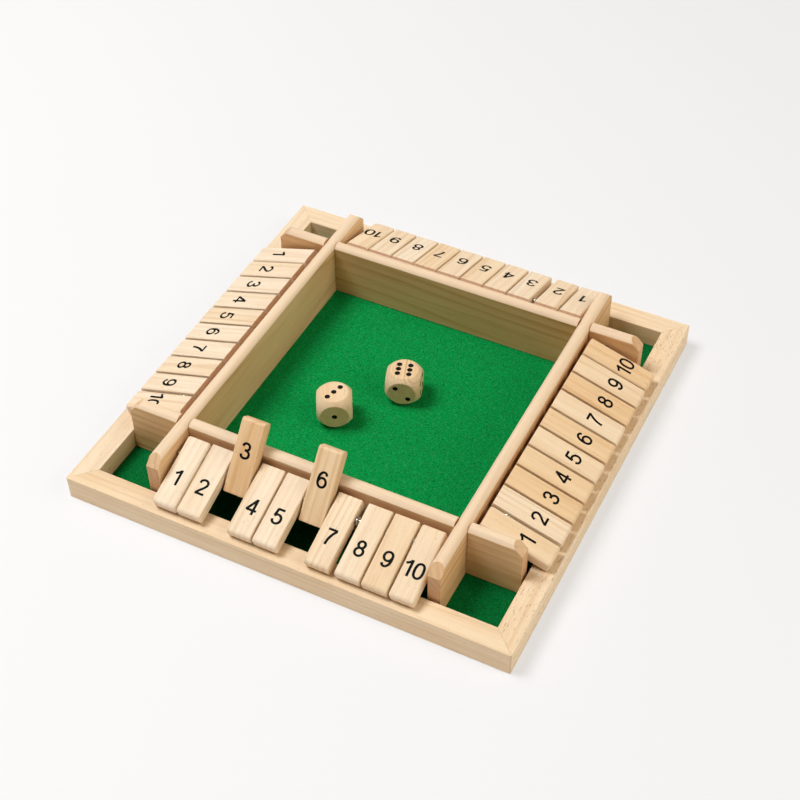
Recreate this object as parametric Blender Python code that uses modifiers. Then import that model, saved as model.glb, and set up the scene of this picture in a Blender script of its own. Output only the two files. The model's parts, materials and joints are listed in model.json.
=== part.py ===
"""Shut the box for four players: a mitred pine tray, four rows of flip tiles on rods, and two dice.

Metres, +Z up. The origin is on the ground under the middle of the tray, and X runs along the front rail.
The four sides are alike, so each piece of a side is modelled for the front, where outward is -Y, and is
parented to the empty of its side, which stands at the origin and is turned by quarter turns about Z.
"""

import math

import bmesh
import bpy
from mathutils import Matrix, Vector

# Clearances
SEAT_GAP = 0.0003
ROD_CLEARANCE = 0.0003
SWING_CLEARANCE = 0.00105
CUT_OVERRUN = 0.001

# Flip tiles. The tail is the part between the rod's axis and the tile's inner end.
TILES_IN_ROW = 10
TILE_WIDTH = 0.0112
TILE_THICKNESS = 0.0057
TILE_LENGTH = 0.0334
TILE_TAIL = 0.0081
TILE_EDGE_RADIUS = 0.0015
TILE_GAP = 0.001
TILE_WIDE_GAP = 0.0028
ROW_END_GAP = 0.0018

# Rods, with the spacer rings that keep the tiles apart
ROD_RADIUS = 0.001
ROD_SEAT_DEPTH = 0.003
ROD_ABOVE_RAIL = 0.0103
RING_RADIUS = 0.0021
RING_THICKNESS = 0.0005

# Upright boards, lapped into each other round the dice tray
BOARD_THICKNESS = 0.0057
BOARD_HEIGHT = 0.0282
BOARD_END_GAP = 0.0011
BOARD_CHAMFER_LENGTH = 0.005
BOARD_CHAMFER_DROP = 0.005
LAP_HEIGHT_SHARE = 0.5

# Outer frame, base and felt. The channel lies between a board and the rail outside it.
CHANNEL_WIDTH = 0.0256
RAIL_WIDTH = 0.0105
RAIL_HEIGHT = 0.012
RAIL_ROUNDING = 0.0007
REBATE_WIDTH = 0.004
BASE_THICKNESS = 0.0015
FELT_THICKNESS = 0.0004

# Dice: a cube whose corners and edges are turned off by a ball, with drilled pips
DIE_SIDE = 0.016
DIE_BALL_RADIUS = 0.0107
PIP_PITCH = 0.0029
PIP_RADIUS = 0.00115
PIP_DEPTH = 0.0006

# Facets
CORNER_STEPS = 3
TILE_EDGE_STEPS = 2
BOARD_TOP_STEPS = 8
BORE_STEPS = 12
ROD_STEPS = 12
BALL_STEPS = 24
PIP_STEPS = 10
SMOOTH_ANGLE = math.radians(35)
MERGE_DISTANCE = 0.00002

# The sides by name, as quarter turns from the front, and the number of the tile that the wide gap follows
SIDES = {"front": 0, "right": 1, "back": 2, "left": 3}
SLIP_TILE_NUMBERS = {"front": 7, "back": 2}
FLIPPED_TILE_NUMBERS = {"front": (3, 6)}

# Dice on the felt: place as a share of the tray's half side, turn, and pips on top, front and right
DICE = {
    "die_left": ((-0.353, -0.217), math.radians(28.3), (3, 1, 2)),
    "die_right": ((-0.006, 0.207), math.radians(17.0), (6, 2, 4)),
}
PIP_PLACE_SHARES = {
    1: ((0, 0),),
    2: ((-1, 1), (1, -1)),
    3: ((-1, -1), (0, 0), (1, 1)),
    4: ((-1, -1), (-1, 1), (1, -1), (1, 1)),
    5: ((-1, -1), (-1, 1), (0, 0), (1, -1), (1, 1)),
    6: ((-1, -1), (-1, 0), (-1, 1), (1, -1), (1, 0), (1, 1)),
}

# Colour, roughness and metallic value of each material
FINISHES = {
    "pine_rails": ((0.83, 0.68, 0.47, 1.0), 0.55, 0.0),
    "pine_boards": ((0.80, 0.63, 0.42, 1.0), 0.55, 0.0),
    "pine_tiles": ((0.86, 0.69, 0.46, 1.0), 0.5, 0.0),
    "pine_dice": ((0.87, 0.70, 0.48, 1.0), 0.45, 0.0),
    "plywood": ((0.72, 0.56, 0.38, 1.0), 0.7, 0.0),
    "green_felt": ((0.0, 0.27, 0.05, 1.0), 0.95, 0.0),
    "steel": ((0.72, 0.72, 0.72, 1.0), 0.3, 1.0),
}

# Sizes that follow
NARROW_GAP_COUNT = TILES_IN_ROW - 2
TRAY_SIDE = (
    TILES_IN_ROW * TILE_WIDTH + NARROW_GAP_COUNT * TILE_GAP + TILE_WIDE_GAP + 2 * ROW_END_GAP
)
WELL_SIDE = TRAY_SIDE + 2 * (BOARD_THICKNESS + CHANNEL_WIDTH)
FRAME_SIDE = WELL_SIDE + 2 * RAIL_WIDTH
REBATE_HEIGHT = BASE_THICKNESS + SEAT_GAP
FELT_TOP = REBATE_HEIGHT + FELT_THICKNESS
BOARD_LENGTH = WELL_SIDE - 2 * BOARD_END_GAP
BOARD_BOTTOM = FELT_TOP + SEAT_GAP
BOARD_OUTWARD = (TRAY_SIDE + BOARD_THICKNESS) / 2
TAIL_REACH = (
    math.hypot(TILE_TAIL - TILE_EDGE_RADIUS, TILE_THICKNESS / 2 - TILE_EDGE_RADIUS) + TILE_EDGE_RADIUS
)
ROD_TO_BOARD = TAIL_REACH + SWING_CLEARANCE
ROD_OUTWARD = BOARD_OUTWARD + BOARD_THICKNESS / 2 + ROD_TO_BOARD
ROD_HEIGHT = RAIL_HEIGHT + ROD_ABOVE_RAIL
BORE_RADIUS = ROD_RADIUS + ROD_CLEARANCE


def lying_angle():
    """How far the outer end of a lying tile hangs below the rod's level: its round edge meets the rail."""
    reach = TILE_LENGTH - TILE_TAIL - TILE_EDGE_RADIUS
    half = TILE_THICKNESS / 2 - TILE_EDGE_RADIUS
    drop = ROD_ABOVE_RAIL - SEAT_GAP - TILE_EDGE_RADIUS
    return math.asin(drop / math.hypot(reach, half)) - math.atan2(half, reach)


def leaning_angle():
    """How far a flipped tile leans from upright towards the tray: its back meets the board's round top."""
    nose = BOARD_THICKNESS / 2
    inward = ROD_TO_BOARD + nose
    rise = BOARD_BOTTOM + BOARD_HEIGHT - nose - ROD_HEIGHT
    apart = TILE_THICKNESS / 2 + nose + SEAT_GAP
    return math.acos(apart / math.hypot(inward, rise)) - math.atan2(rise, inward)


LYING_TURN = lying_angle()
FLIPPED_TURN = -(math.pi / 2 + leaning_angle())


def clear_scene():
    for obj in list(bpy.data.objects):
        bpy.data.objects.remove(obj)


def new_collection(name):
    collection = bpy.data.collections.new(name)
    bpy.context.scene.collection.children.link(collection)
    return collection


def new_material(name):
    colour, roughness, metallic = FINISHES[name]
    material = bpy.data.materials.new(name)
    material.use_nodes = True
    material.diffuse_color = colour
    shader = material.node_tree.nodes["Principled BSDF"]
    shader.inputs["Base Color"].default_value = colour
    shader.inputs["Roughness"].default_value = roughness
    shader.inputs["Metallic"].default_value = metallic
    return material


def add_object(name, mesh, collection, parent=None):
    obj = bpy.data.objects.new(name, mesh)
    collection.objects.link(obj)
    obj.parent = parent
    return obj


def add_piece(name, mesh, material, parent=None):
    """A piece of the game: smooth where it is rounded, in one material."""
    if not mesh.materials:
        mesh.materials.append(bpy.data.materials[material])
    mesh.shade_smooth()
    mesh.set_sharp_from_angle(angle=SMOOTH_ANGLE)
    return add_object(name, mesh, bpy.data.collections["shut_the_box_game"], parent)


def add_helper(name, mesh, parent=None):
    """A cutter or a blank, which no render shows."""
    helper = add_object(name, mesh, bpy.data.collections["cutters"], parent)
    helper.hide_render = True
    helper.display_type = "WIRE"
    return helper


def mesh_of(name, bm):
    mesh = bpy.data.meshes.new(name)
    bm.to_mesh(mesh)
    bm.free()
    return mesh


def box_mesh(name, size):
    bm = bmesh.new()
    bmesh.ops.create_cube(bm, size=1)
    bmesh.ops.scale(bm, verts=bm.verts, vec=size)
    return mesh_of(name, bm)


def arc(centre, radius, start, end, steps):
    """Points on an arc from one angle to another, both ends included."""
    points = []
    for step in range(steps + 1):
        angle = start + (end - start) * step / steps
        points.append((centre[0] + radius * math.cos(angle), centre[1] + radius * math.sin(angle)))
    return points


def extruded(name, outline, length):
    """A closed outline across the X axis, in Y and Z, drawn out to a bar of this length about the origin."""
    curve = bpy.data.curves.new(name, "CURVE")
    curve.dimensions = "2D"
    curve.fill_mode = "BOTH"
    curve.extrude = length / 2
    spline = curve.splines.new("POLY")
    spline.points.add(len(outline) - 1)
    for point, (across, up) in zip(spline.points, outline):
        point.co = (across, up, 0, 1)
    spline.use_cyclic_u = True
    drawn = bpy.data.objects.new(name, curve)
    bpy.context.scene.collection.objects.link(drawn)
    bpy.context.view_layer.update()
    graph = bpy.context.evaluated_depsgraph_get()
    mesh = bpy.data.meshes.new_from_object(drawn.evaluated_get(graph))
    bpy.data.objects.remove(drawn)
    bpy.data.curves.remove(curve)
    bm = bmesh.new()
    bm.from_mesh(mesh)
    bpy.data.meshes.remove(mesh)
    bmesh.ops.remove_doubles(bm, verts=bm.verts, dist=MERGE_DISTANCE)
    # The curve's own X, Y and Z become the bar's Y, Z and X.
    turn = Matrix(((0, 0, 1), (1, 0, 0), (0, 1, 0)))
    bmesh.ops.transform(bm, matrix=turn.to_4x4(), verts=bm.verts)
    return bm


def trim(bm, point, normal):
    """Saws off what lies beyond a plane and closes the cut."""
    geometry = bm.verts[:] + bm.edges[:] + bm.faces[:]
    bmesh.ops.bisect_plane(
        bm, geom=geometry, dist=0, plane_co=point, plane_no=normal, clear_outer=True
    )
    open_edges = [edge for edge in bm.edges if edge.is_boundary]
    bmesh.ops.holes_fill(bm, edges=open_edges, sides=0)


def cut(obj, cutter, operation="DIFFERENCE"):
    boolean = obj.modifiers.new(cutter.name, "BOOLEAN")
    boolean.operation = operation
    boolean.object = cutter


def drill_mesh(name, radius, length, steps, direction):
    """A round cutter about the origin, along a direction."""
    bm = bmesh.new()
    bmesh.ops.create_cone(
        bm, cap_ends=True, segments=steps, radius1=radius, radius2=radius, depth=length
    )
    turn = Vector((0, 0, 1)).rotation_difference(Vector(direction)).to_matrix()
    bmesh.ops.rotate(bm, verts=bm.verts, cent=(0, 0, 0), matrix=turn)
    return mesh_of(name, bm)


def make_sides():
    """The four empties that the pieces of each side hang on."""
    sides = {}
    for name, quarter_turns in SIDES.items():
        empty = add_object("side_" + name, None, bpy.data.collections["shut_the_box_game"])
        empty.rotation_euler.z = quarter_turns * math.pi / 2
        sides[name] = empty
    return sides


def rail_outline():
    """A rail's cross-section: outer face first, a rebate for the base below, both top edges rounded."""
    outer = -RAIL_WIDTH / 2
    inner = RAIL_WIDTH / 2
    step = inner - REBATE_WIDTH
    side = RAIL_WIDTH / 2 - RAIL_ROUNDING
    level = RAIL_HEIGHT - RAIL_ROUNDING
    outline = [(outer, 0), (step, 0), (step, REBATE_HEIGHT), (inner, REBATE_HEIGHT)]
    outline += arc((side, level), RAIL_ROUNDING, 0, math.pi / 2, CORNER_STEPS)
    outline += arc((-side, level), RAIL_ROUNDING, math.pi / 2, math.pi, CORNER_STEPS)
    return outline


def make_rail(side, parent):
    """One side of the frame, mitred at both ends, a seat gap short of its neighbours."""
    bm = extruded("rail", rail_outline(), FRAME_SIDE)
    centre = (FRAME_SIDE - RAIL_WIDTH) / 2
    for end in (-1, 1):
        mitre = Vector((end, 1, 0)).normalized()
        corner = Vector((end * centre, 0, 0)) - mitre * SEAT_GAP / 2
        trim(bm, corner, mitre)
    rail = add_piece("rail_" + side, mesh_of("rail_" + side, bm), "pine_rails", parent)
    rail.location.y = -centre


def make_base_panel():
    """The thin board that closes the frame from below, let into the rails' rebates."""
    side = WELL_SIDE + 2 * (REBATE_WIDTH - SEAT_GAP)
    mesh = box_mesh("base_panel", (side, side, BASE_THICKNESS))
    panel = add_piece("base_panel", mesh, "plywood")
    panel.location.z = BASE_THICKNESS / 2


def make_felt_sheet():
    """The green cloth that covers the base inside the rails, under the boards."""
    side = WELL_SIDE - 2 * SEAT_GAP
    mesh = box_mesh("felt_sheet", (side, side, FELT_THICKNESS))
    felt = add_piece("felt_sheet", mesh, "green_felt")
    felt.location.z = FELT_TOP - FELT_THICKNESS / 2


def board_blank():
    """A board with a half-round top, its upper corners sawn off at both ends."""
    nose = BOARD_THICKNESS / 2
    outline = [(-nose, 0), (nose, 0)]
    outline += arc((0, BOARD_HEIGHT - nose), nose, 0, math.pi, BOARD_TOP_STEPS)
    bm = extruded("board", outline, BOARD_LENGTH)
    for end in (-1, 1):
        corner = (end * BOARD_LENGTH / 2, 0, BOARD_HEIGHT - BOARD_CHAMFER_DROP)
        slope = Vector((end * BOARD_CHAMFER_DROP, 0, BOARD_CHAMFER_LENGTH)).normalized()
        trim(bm, corner, slope)
    return bm


def lap_cutter(name, end, slotted_from_above, board):
    """The slot that takes the crossing board: the cross boards' from above, the side boards' from below."""
    level = BOARD_HEIGHT * LAP_HEIGHT_SHARE
    low = level - SEAT_GAP / 2 if slotted_from_above else -CUT_OVERRUN
    high = BOARD_HEIGHT + CUT_OVERRUN if slotted_from_above else level + SEAT_GAP / 2
    width = BOARD_THICKNESS + 2 * SEAT_GAP
    mesh = box_mesh(name, (width, BOARD_THICKNESS + 2 * CUT_OVERRUN, high - low))
    cutter = add_helper(name, mesh, board)
    cutter.location = (end * BOARD_OUTWARD, 0, (low + high) / 2)
    return cutter


def socket_cutter(name, end, board):
    """The blind hole in a board's inner face that a rod's end sits in."""
    depth = ROD_SEAT_DEPTH + SEAT_GAP
    mesh = drill_mesh(name, BORE_RADIUS, depth + CUT_OVERRUN, BORE_STEPS, (0, 1, 0))
    cutter = add_helper(name, mesh, board)
    inner_face = BOARD_THICKNESS / 2
    middle = inner_face - depth + (depth + CUT_OVERRUN) / 2
    cutter.location = (end * ROD_OUTWARD, middle, ROD_HEIGHT - BOARD_BOTTOM)
    return cutter


def make_board(side, parent):
    slotted_from_above = side in ("front", "back")
    name = ("cross_board_" if slotted_from_above else "side_board_") + side
    board = add_piece(name, mesh_of(name, board_blank()), "pine_boards", parent)
    board.location = (0, -BOARD_OUTWARD, BOARD_BOTTOM)
    for end, end_name in ((-1, "a"), (1, "b")):
        lap = lap_cutter(name + "_lap_" + end_name, end, slotted_from_above, board)
        cut(board, lap)
        cut(board, socket_cutter(name + "_socket_" + end_name, end, board))


def row_gaps(side):
    """The gaps between a row's tiles. Where one is wide, the tiles have slid apart there."""
    if side not in SLIP_TILE_NUMBERS:
        even_gap = (NARROW_GAP_COUNT * TILE_GAP + TILE_WIDE_GAP) / (TILES_IN_ROW - 1)
        return [even_gap] * (TILES_IN_ROW - 1)
    gaps = [TILE_GAP] * (TILES_IN_ROW - 1)
    gaps[SLIP_TILE_NUMBERS[side] - 1] = TILE_WIDE_GAP
    return gaps


def tile_places(side):
    """The middle of each tile along the rod, from tile 1 on the left to the last on the right."""
    places = [-TRAY_SIDE / 2 + ROW_END_GAP + TILE_WIDTH / 2]
    for gap in row_gaps(side):
        places.append(places[-1] + TILE_WIDTH + gap)
    return places


def rod_profile(side):
    """Radius and place along the rod, from its top end to its bottom end, with a ring in each gap."""
    half = TRAY_SIDE / 2 + ROD_SEAT_DEPTH
    profile = [(0, half), (ROD_RADIUS, half)]
    rings = []
    for place, gap in zip(tile_places(side), row_gaps(side)):
        rings.append(place + (TILE_WIDTH + gap) / 2)
    for ring in reversed(rings):
        top = ring + RING_THICKNESS / 2
        bottom = ring - RING_THICKNESS / 2
        profile += [(ROD_RADIUS, top), (RING_RADIUS, top), (RING_RADIUS, bottom), (ROD_RADIUS, bottom)]
    return profile + [(ROD_RADIUS, -half), (0, -half)]


def make_rod(side, parent):
    """A steel rod with its spacer rings, turned about its own Z axis and laid along the row."""
    bm = bmesh.new()
    points = [bm.verts.new((radius, 0, along)) for radius, along in rod_profile(side)]
    for first, second in zip(points, points[1:]):
        bm.edges.new((first, second))
    rod = add_piece("rod_" + side, mesh_of("rod_" + side, bm), "steel", parent)
    screw = rod.modifiers.new("turned", "SCREW")
    screw.axis = "Z"
    screw.steps = ROD_STEPS
    screw.render_steps = ROD_STEPS
    screw.use_merge_vertices = True
    screw.merge_threshold = MERGE_DISTANCE
    screw.use_smooth_shade = False
    rod.rotation_euler.y = math.pi / 2
    rod.location = (0, -ROD_OUTWARD, ROD_HEIGHT)


def make_tile_mesh():
    """The mesh that all tiles share: the rod along X through the origin, the tile reaching out to -Y."""
    bm = bmesh.new()
    bmesh.ops.create_cube(bm, size=1)
    bmesh.ops.scale(bm, verts=bm.verts, vec=(TILE_WIDTH, TILE_LENGTH, TILE_THICKNESS))
    bmesh.ops.bevel(
        bm,
        geom=bm.edges[:],
        offset=TILE_EDGE_RADIUS,
        offset_type="OFFSET",
        segments=TILE_EDGE_STEPS,
        profile=0.5,
        affect="EDGES",
        material=-1,
    )
    bmesh.ops.translate(bm, verts=bm.verts, vec=(0, TILE_TAIL - TILE_LENGTH / 2, 0))
    blank = add_helper("tile_blank", mesh_of("tile_blank", bm))
    length = TILE_WIDTH + 2 * CUT_OVERRUN
    drill = drill_mesh("tile_bore", BORE_RADIUS, length, BORE_STEPS, (1, 0, 0))
    cut(blank, add_helper("tile_bore", drill))
    bpy.context.view_layer.update()
    graph = bpy.context.evaluated_depsgraph_get()
    mesh = bpy.data.meshes.new_from_object(blank.evaluated_get(graph))
    mesh.name = "tile"
    return mesh


def make_tile_row(side, parent, mesh):
    """Ten tiles on a rod, lying on the rail or flipped up against the board."""
    for number, place in enumerate(tile_places(side), start=1):
        tile = add_piece(f"tile_{side}_{number:02d}", mesh, "pine_tiles", parent)
        tile.location = (place, -ROD_OUTWARD, ROD_HEIGHT)
        flipped = number in FLIPPED_TILE_NUMBERS.get(side, ())
        tile.rotation_euler.x = FLIPPED_TURN if flipped else LYING_TURN


def pip_mesh(name, pips_on_faces):
    """All pips of a die as drill tips, each with its point below the face."""
    top, front, right = pips_on_faces
    # Each face with its count: outward, then the two directions that its pips are laid out along.
    faces = (
        (top, (0, 0, 1), (1, 0, 0), (0, 1, 0)),
        (7 - top, (0, 0, -1), (1, 0, 0), (0, 1, 0)),
        (front, (0, -1, 0), (1, 0, 0), (0, 0, 1)),
        (7 - front, (0, 1, 0), (1, 0, 0), (0, 0, 1)),
        (right, (1, 0, 0), (0, 1, 0), (0, 0, 1)),
        (7 - right, (-1, 0, 0), (0, 1, 0), (0, 0, 1)),
    )
    depth = PIP_DEPTH + CUT_OVERRUN
    wide = PIP_RADIUS * depth / PIP_DEPTH
    bm = bmesh.new()
    for count, outward, across, up in faces:
        # The cone's point is its lower end, so it enters the face from outside.
        turn = Vector((0, 0, 1)).rotation_difference(Vector(outward)).to_matrix().to_4x4()
        for u, v in PIP_PLACE_SHARES[count]:
            level = DIE_SIDE / 2 - PIP_DEPTH + depth / 2
            place = Vector(outward) * level + (Vector(across) * u + Vector(up) * v) * PIP_PITCH
            bmesh.ops.create_cone(
                bm,
                cap_ends=True,
                segments=PIP_STEPS,
                radius1=0,
                radius2=wide,
                depth=depth,
                matrix=Matrix.Translation(place) @ turn,
            )
    bmesh.ops.remove_doubles(bm, verts=bm.verts, dist=MERGE_DISTANCE)
    return mesh_of(name, bm)


def make_die(name, place_shares, turn, pips_on_faces):
    """A wooden die: cube and ball have their middles together, and what both hold is left."""
    die = add_piece(name, box_mesh(name, (DIE_SIDE, DIE_SIDE, DIE_SIDE)), "pine_dice")
    middle = FELT_TOP + SEAT_GAP + DIE_SIDE / 2
    die.location = (place_shares[0] * TRAY_SIDE / 2, place_shares[1] * TRAY_SIDE / 2, middle)
    die.rotation_euler.z = turn
    bm = bmesh.new()
    bmesh.ops.create_uvsphere(
        bm, u_segments=BALL_STEPS, v_segments=BALL_STEPS // 2, radius=DIE_BALL_RADIUS
    )
    cut(die, add_helper(name + "_ball", mesh_of(name + "_ball", bm), die), "INTERSECT")
    cut(die, add_helper(name + "_pips", pip_mesh(name + "_pips", pips_on_faces), die))


def main():
    clear_scene()
    new_collection("shut_the_box_game")
    new_collection("cutters")
    for name in FINISHES:
        new_material(name)
    sides = make_sides()
    make_base_panel()
    make_felt_sheet()
    tile_mesh = make_tile_mesh()
    for side, parent in sides.items():
        make_rail(side, parent)
        make_board(side, parent)
        make_rod(side, parent)
        make_tile_row(side, parent, tile_mesh)
    for name, (place_shares, turn, pips_on_faces) in DICE.items():
        make_die(name, place_shares, turn, pips_on_faces)


main()
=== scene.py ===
"""Shut the box game for four players, dressed for a picture: pine, green felt, steel and printed numbers.

Metres, +Z up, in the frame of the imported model. Each piece of a side is modelled for the front, where
outward is -Y, and is then turned to its side about the upright axis through the middle of the tray.
"""

import json
import math
import random

import bmesh
import bpy
from mathutils import Matrix, Vector, noise


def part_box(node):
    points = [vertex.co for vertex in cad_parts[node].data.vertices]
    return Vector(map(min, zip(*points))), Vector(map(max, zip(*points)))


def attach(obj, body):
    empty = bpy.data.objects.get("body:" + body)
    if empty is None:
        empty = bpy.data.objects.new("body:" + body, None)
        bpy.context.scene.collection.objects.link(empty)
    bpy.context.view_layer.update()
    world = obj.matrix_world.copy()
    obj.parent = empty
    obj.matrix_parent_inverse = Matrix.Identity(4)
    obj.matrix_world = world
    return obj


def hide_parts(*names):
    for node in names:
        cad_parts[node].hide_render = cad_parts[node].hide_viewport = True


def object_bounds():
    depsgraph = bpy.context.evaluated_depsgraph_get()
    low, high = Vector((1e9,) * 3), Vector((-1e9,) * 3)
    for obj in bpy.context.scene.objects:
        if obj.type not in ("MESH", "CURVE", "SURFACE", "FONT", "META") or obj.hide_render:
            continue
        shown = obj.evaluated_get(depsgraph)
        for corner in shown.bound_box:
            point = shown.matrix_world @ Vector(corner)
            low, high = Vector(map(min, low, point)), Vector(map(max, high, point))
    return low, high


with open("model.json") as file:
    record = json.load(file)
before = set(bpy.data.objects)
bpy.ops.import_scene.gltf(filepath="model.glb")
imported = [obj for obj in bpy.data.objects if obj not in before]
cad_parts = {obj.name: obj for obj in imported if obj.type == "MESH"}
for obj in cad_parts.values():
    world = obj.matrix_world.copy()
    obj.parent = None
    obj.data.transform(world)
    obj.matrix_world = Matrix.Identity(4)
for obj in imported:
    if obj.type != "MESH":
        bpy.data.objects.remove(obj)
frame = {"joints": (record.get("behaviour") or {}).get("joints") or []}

bl_info = {
    "name": "Shut the box game",
    "version": (1, 0, 0),
    "blender": (4, 5, 0),
    "location": "View3D > Sidebar > Shut the box",
    "description": "Makes a four player shut the box game in pine, felt and steel, on its lit floor",
    "category": "Add Mesh",
}

SMOOTH_ANGLE = math.radians(30)
SAWN_ANGLE = math.radians(60)
RIM_ANGLE = math.radians(25)
MERGE_DISTANCE = 0.00001
SAW_DISTANCE = 0.000001
SIDES = {"front": 0, "right": 1, "back": 2, "left": 3}
NUMBERS = range(1, 11)
ROW_ENDS = (1, 10)
CROSS_SIDES = ("front", "back")
BOARD_NODES = {
    "front": "cross_board_front",
    "back": "cross_board_back",
    "left": "side_board_left",
    "right": "side_board_right",
}

# Shade of each piece of pine, from pale cream at 0 to golden brown at 1.
TILE_TONES = {
    "front": (0.04, 0.06, 0.70, 0.12, 0.06, 0.52, 0.20, 0.14, 0.34, 0.22),
    "right": (0.38, 0.16, 0.60, 0.54, 0.32, 0.56, 0.18, 0.62, 0.30, 0.62),
    "back": (0.08, 0.16, 0.00, 0.12, 0.26, 0.06, 0.34, 0.04, 0.12, 0.22),
    "left": (0.00, 0.12, 0.00, 0.08, 0.16, 0.00, 0.06, 0.14, 0.02, 0.10),
}
RAIL_TONES = {"front": 0.32, "right": 0.26, "back": 0.24, "left": 0.20}
BOARD_TONES = {"front": 0.72, "right": 0.80, "back": 0.88, "left": 0.72}
BASE_TONE = 0.55
DIE_TONE = 0.46


# How a piece was cut: how far from the middle of the log, and how dark the end grain is at its two ends
PLAIN_CUT = (0.045, (1.0, 1.0))
RAIL_CUT = (0.06, (1.0, 1.0))
BOARD_CUT = (0.05, (0.75, 0.75))
# A tile's outer end keeps only a quarter of its end-grain colour: the end grain is real, its paleness is
# painted light, as those ends face up to the lamp
TILE_CUT = (0.04, (0.25, 1.0))
DIE_CUT = (0.016, (0.3, 0.3))
BASE_CUT = (0.2, (1.0, 1.0))

# The direction of each board from the middle of its log, which gives its faces their broad figure
FLAT_SAWN = {"front": 0.45, "right": 2.75, "back": 0.32, "left": -0.42}

# The rail whose wood has most resin flecks
FLECKED_RAIL = "right"

# How far the tiles' inner ends slope back at their upper edge, so that their end grain shows from above
INNER_END_SLOPE = {"front": 0.0, "right": 0.0, "back": 0.0016, "left": 0.0014}

# From the middle of the tray to the outer faces of its boards
BOARDS_OUT = 0.0689

# How pale a piece's eased edges are, how much painted light makes a board's top paler, and how level a face
# is that is no edge
EASED_EDGE = 0.18
PAINTED_TOP_LIGHT = 1.0
LEVEL_FACE = 0.97

# Noise in the wood, in waves to the metre: along the grain, then across it both ways
RING_WOBBLE = (13, 85, 85)
RING_FADING = (7, 110, 110)
FIBRES = (120, 3400, 3400)
STREAKS = (16, 520, 520)
PATCHES = (22, 95, 95)
DASHES = (420, 2300, 2300)

# How far the wobble bends the rings, and how much of the way along the grain counts towards their radius
RING_BEND = 0.0026
RING_STRETCH = 0.045

# How dark the wood is across one yearly ring
RING_STOPS = ((0.0, 0.30), (0.10, 0.03), (0.50, 0.10), (0.80, 0.62), (0.92, 1.0), (1.0, 0.30))
FLECK_STOPS = ((0.72, 0.0), (0.78, 1.0))

# What each shade of pine, patch, fibre and pore multiplies the wood's colour by
TONE_STOPS = (
    (0.0, (1.0, 1.0, 1.0)),
    (0.25, (0.98, 0.925, 0.835)),
    (0.45, (0.95, 0.855, 0.705)),
    (0.65, (0.92, 0.77, 0.58)),
    (0.85, (0.87, 0.66, 0.43)),
    (1.0, (0.74, 0.51, 0.32)),
)
PATCH_TINT = (0.90, 0.76, 0.58)
FIBRE_TINT = (0.72, 0.58, 0.42)
PORE_TINT = (0.78, 0.66, 0.52)

# Noise in the felt: slow drift, its nap, and its loose fibres one way and the other
FELT_DRIFT = (40, 40, 40)
FELT_NAP = (1500, 1300, 1500)
LOOSE_FIBRES = ((620, 2900, 900), (2700, 640, 900))
LOOSE_STOPS = ((0.58, 0.0), (0.70, 1.0))
DRIFT_TINT = (0.66, 0.80, 0.72)
FELT_SWELLS = (90, 260)

# Noise in the ink and in the steel
INK_BLOTCHES = (900, 900, 900)
INK_THREADS = (180, 3600, 3600)
STEEL_LINES = (240, 9000, 9000)
STEEL_SPOTS = (600, 900, 900)

# Dice: node, pips on top, front and right, turn, how strongly the grain shows and how fine it is
DICE = {
    "die_left": ((3, 1, 2), math.radians(28.3), 0.25, 1.0),
    "die_right": ((6, 2, 4), math.radians(17.0), 1.5, 2.4),
}
PIP_SHARES = {
    1: ((0, 0),),
    2: ((-1, 1), (1, -1)),
    3: ((-1, -1), (0, 0), (1, 1)),
    4: ((-1, -1), (-1, 1), (1, -1), (1, 1)),
    5: ((-1, -1), (-1, 1), (0, 0), (1, -1), (1, 1)),
    6: ((-0.9, -1), (-0.9, 0), (-0.9, 1), (0.9, -1), (0.9, 0), (0.9, 1)),
}
# A pip's hollow in three steps: the share of its depth, and how narrow it becomes
PIP_STEPS = ((0.45, 0.82), (0.35, 0.62), (0.20, 0.35))

# Centre lines of the printed figures, in hundredths of their height
FIGURES = {
    "0": (("ring", ((30, 93.5), (7.5, 50), (30, 6.5), (52.5, 50))),),
    "1": (("line", ((36, 0), (36, 99))), ("curve", ((35.5, 95), (25, 82), (7, 72)))),
    "2": (
        ("curve", ((8, 70), (14, 87), (30, 93.5), (46, 87), (51.5, 71), (43, 50), (26, 30), (9, 7))),
        ("line", ((4.5, 6.5), (56, 6.5))),
    ),
    "3": (
        ("curve", ((9, 74), (15, 88), (29, 93.5), (43, 87), (47.5, 73), (41, 58), (24, 53))),
        ("curve", ((24, 53), (43, 48), (52, 29), (44, 12), (28, 6.5), (13, 12), (7, 27))),
    ),
    "4": (
        ("line", ((43, 0), (43, 100))),
        ("line", ((42, 96), (5.5, 27))),
        ("line", ((3, 28), (60, 28))),
    ),
    "5": (
        ("line", ((15, 93.5), (53, 93.5))),
        ("line", ((17.5, 97), (10.5, 50))),
        ("curve", ((9, 50), (27, 61), (44, 54), (52, 35), (45, 14), (28, 6.5), (13, 13), (6.5, 28))),
    ),
    "6": (
        ("curve", ((49, 77), (43, 89), (31, 93.5), (16, 83), (8, 57), (7.5, 35))),
        ("ring", ((30, 60), (8, 33), (30, 6.5), (52, 33))),
    ),
    "7": (
        ("line", ((6, 93.5), (56, 93.5))),
        ("curve", ((53.5, 93), (37, 66), (26, 36), (21, 0))),
    ),
    "8": (
        ("ring", ((29.5, 93.5), (12, 73.5), (29.5, 53.5), (47, 73.5))),
        ("ring", ((29.5, 53.5), (8, 30), (29.5, 6.5), (51, 30))),
    ),
    "9": (
        ("curve", ((11, 23), (17, 11), (29, 6.5), (44, 17), (52, 43), (52.5, 65))),
        ("ring", ((30, 40), (52, 67), (30, 93.5), (8, 67))),
    ),
}
HUNDREDTH = 0.01
DIGIT_WIDTH = 0.60
ONE_WIDTH = 0.54

# The floor's backdrop is painted darker along this way, over this span: painted falloff of the lamp's light
# from the left.
# The walls' light ends in this span of height, and the ceiling's light grows from the front to the back.
BACKDROP_WAY = (0.767, 0.627, 0)
BACKDROP_SPAN = (-0.35, 0.60)
WALL_SPAN = (0.03, 0.17)
CEILING_SPAN = (-0.7, 0.7)


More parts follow.
